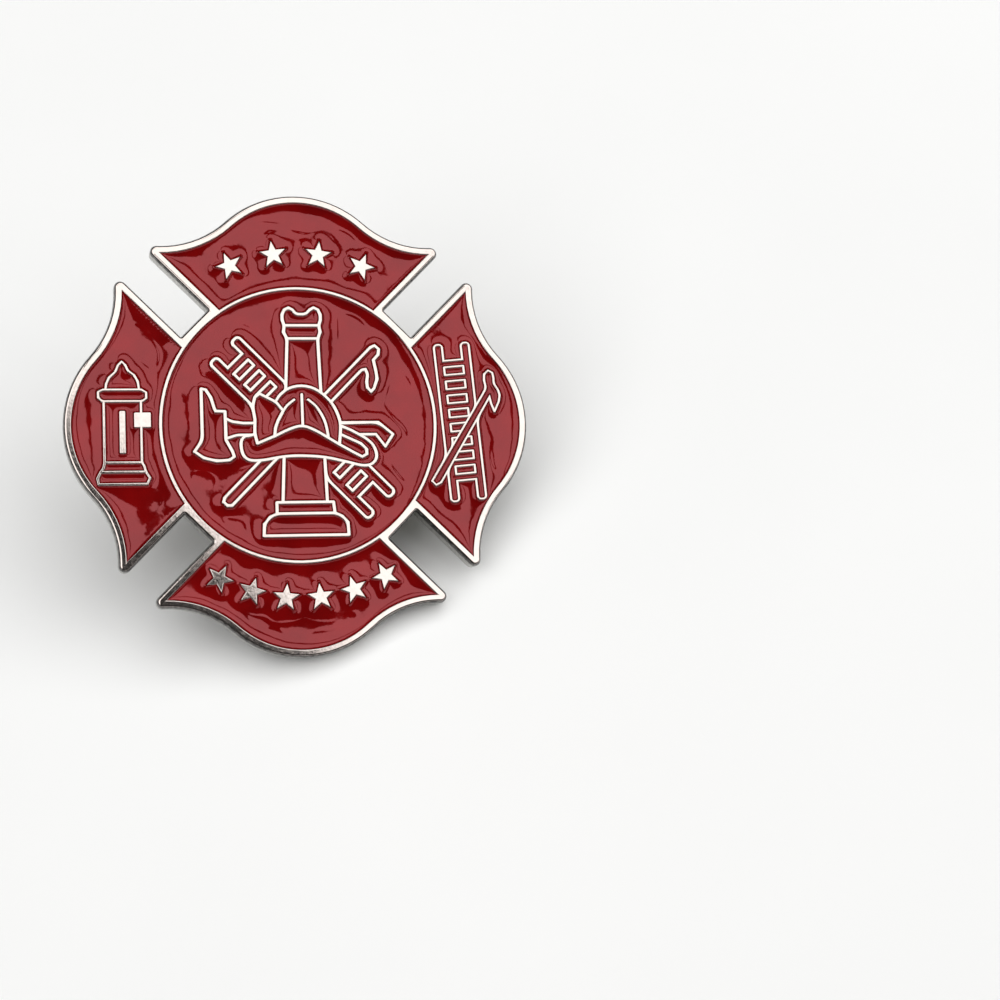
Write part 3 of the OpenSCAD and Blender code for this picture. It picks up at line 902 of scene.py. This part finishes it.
def fold_points(start, end, rng):
    """Points of the crumpled sheet's top: an array of rows by creases by coordinates."""
    radii, levels, depths, swings = np.array(FOLD_ROWS).T[:, :, None]
    angles = np.radians(np.linspace(start, end, FOLD_COUNT + 1))
    angles = angles - rng.uniform(-FOLD_SWING, FOLD_SWING, radii.shape) * swings
    zigzag = np.where(np.arange(FOLD_COUNT + 1) % 2, 1, -1)
    zigzag = zigzag * rng.uniform(FOLD_LEAST_SHARE, 1, FOLD_COUNT + 1)
    deep = FOLD_DEPTH * depths * zigzag
    heights = levels + deep + rng.uniform(-FOLD_JITTER, FOLD_JITTER, deep.shape)
    heights[0] = levels[0]
    return np.stack([radii * np.cos(angles), radii * np.sin(angles), heights], axis=-1)


def build_folds(solid, start, end, seed):
    """Crumpled sheet of the spring between two angles, from its ring in towards the post."""
    grid = fold_points(start, end, np.random.default_rng(seed))
    top = grid.reshape(-1, 3)
    index = np.arange(len(top)).reshape(grid.shape[:2])
    a, b, c, d = index[:-1, :-1], index[:-1, 1:], index[1:, 1:], index[1:, :-1]
    upper = np.concatenate([np.stack(t, axis=-1).reshape(-1, 3) for t in ((a, b, d), (b, c, d))])
    lower = upper[:, ::-1] + len(top)
    edge = np.concatenate([index[0], index[1:, -1], index[-1, -2::-1], index[-2:0:-1, 0]])
    ahead = np.roll(edge, -1)
    below = len(top)
    rim = np.concatenate([np.stack([edge, edge + below, ahead + below], axis=1),
                          np.stack([edge, ahead + below, ahead], axis=1)])
    points = np.concatenate([top, top - [0, 0, FOLD_THICK]])
    creased(solid, points, np.concatenate([upper, lower, rim]), 0)


def creased(solid, points, triangles, material):
    """Triangles as flat facets, with sharp creases between them."""
    corners = points[triangles]
    across = np.cross(corners[:, 1] - corners[:, 0], corners[:, 2] - corners[:, 0])
    across /= np.linalg.norm(across, axis=1)[:, None]
    solid.add(corners, across[:, None, :], material)


def build_wings(material):
    """The spring: a ring in the cup, crumpled sheet in it, and two wings that rise and cross."""
    solid = Solid()
    for k, (start, end) in enumerate(FOLD_SECTORS):
        build_folds(solid, start, end, FOLD_SEED + k)
    low, high = SPRING_RING_H, SPRING_RING_H + SPRING_THICK
    small, big = SPRING_RING
    profile = [(small, high), (small, low), (big, low), (big, high), (small, high)]
    turned_surface(solid, profile, RING_FACETS, 0)
    build_wing(solid, 1)
    build_wing(solid, -1)
    return solid.build("clutch_spring", [material], CLUTCH_PLACE)


# Materials
def new_material(name, **settings):
    """Principled material with its settings by input name; underscores stand for spaces."""
    material = bpy.data.materials.new(name)
    material.use_nodes = True
    shader = material.node_tree.nodes["Principled BSDF"]
    for key, value in settings.items():
        shader.inputs[key.replace("_", " ")].default_value = value
    return material, material.node_tree, shader


def noise(tree, per_mm, detail=3):
    """Noise fixed to the object, with a number of grains to a millimetre."""
    place = tree.nodes.new("ShaderNodeTexCoord")
    texture = tree.nodes.new("ShaderNodeTexNoise")
    texture.inputs["Scale"].default_value = per_mm / MM
    texture.inputs["Detail"].default_value = detail
    tree.links.new(place.outputs["Object"], texture.inputs["Vector"])
    return texture.outputs["Fac"]


def clouded(tree, target, per_mm, low, high, stops=(0.3, 0.7)):
    """Lets a shader's input vary in clouds between two colours or two values.

    Below the first stop of the noise it is the low one, above the second the high one.
    """
    source = noise(tree, per_mm)
    node = tree.nodes.new("ShaderNodeValToRGB")
    for mark, position, value in zip(node.color_ramp.elements, stops, (low, high)):
        colour = value if isinstance(value, tuple) else (value,) * 3
        mark.position = position
        mark.color = (*colour, 1)
    tree.links.new(source, node.inputs["Fac"])
    tree.links.new(node.outputs["Color"], target)


def bumped(tree, shader, per_mm, detail, depth):
    """Fine bumps on a shader, so many to a millimetre and so many millimetres deep."""
    source = noise(tree, per_mm, detail)
    node = tree.nodes.new("ShaderNodeBump")
    node.inputs["Strength"].default_value = 1
    node.inputs["Distance"].default_value = depth * MM
    tree.links.new(source, node.inputs["Height"])
    tree.links.new(node.outputs["Normal"], shader.inputs["Normal"])


def metal_material(name, dark, light, rough, grains, depth, clouds):
    """Nickel plating: slightly uneven in colour and polish, with a fine grain."""
    material, tree, shader = new_material(name, Metallic=1)
    clouded(tree, shader.inputs["Base Color"], clouds, dark, light, stops=(0.35, 0.65))
    clouded(tree, shader.inputs["Roughness"], clouds * FINER_CLOUDS, *rough)
    bumped(tree, shader, grains, detail=4, depth=depth)
    return material


def enamel_material():
    """Glossy deep red, a little cloudy; its sheen is red too."""
    material, tree, shader = new_material(
        "red enamel", IOR=1.6, Specular_IOR_Level=0.9, Specular_Tint=(0.92, 0.31, 0.33, 1))
    clouded(tree, shader.inputs["Base Color"], 0.5, *ENAMEL_COLOURS)
    clouded(tree, shader.inputs["Roughness"], 1.2, low=0.03, high=0.07)
    bumped(tree, shader, 1.4, detail=2, depth=0.004)
    return material


def floor_material():
    """Plain pale ground."""
    material, tree, shader = new_material("floor", Roughness=0.9)
    clouded(tree, shader.inputs["Base Color"], 0.02, *FLOOR_COLOURS)
    return material


def build_floor(size=3):
    """The ground, with a side of so many metres."""
    bpy.ops.mesh.primitive_plane_add(size=size)
    floor = bpy.context.object
    floor.name = "floor"
    floor.data.materials.append(floor_material())


def set_world():
    """Faint even light from all round."""
    world = bpy.data.worlds.new("studio")
    world.use_nodes = True
    background = world.node_tree.nodes["Background"]
    background.inputs["Color"].default_value = (1, 1, 1, 1)
    background.inputs["Strength"].default_value = WORLD_BRIGHTNESS
    bpy.context.scene.world = world


def dress():
    """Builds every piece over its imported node."""
    metals = [metal_material(*row) for row in BADGE_METALS.values()]
    clutch = metal_material(*CLUTCH_METAL)
    metal = build_metal(metals)
    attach(metal, "badge")
    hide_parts("badge")
    enamel = enamel_material()
    for field in ("top", "bottom", "left", "right", "center"):
        node = "enamel_" + field
        fill = build_enamel(node, enamel)
        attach(fill, "badge")
        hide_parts(node)
    for node, piece in (("clutch_base", build_cup(clutch)), ("clutch_wings", build_wings(clutch))):
        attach(piece, "clutch")
        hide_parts(node)


dress()
build_floor()
set_world()
for name, (along, across) in CEILINGS.items():
    add_ceiling(name, along, across)
place_camera()
bpy.context.scene.view_settings.view_transform = "Standard"
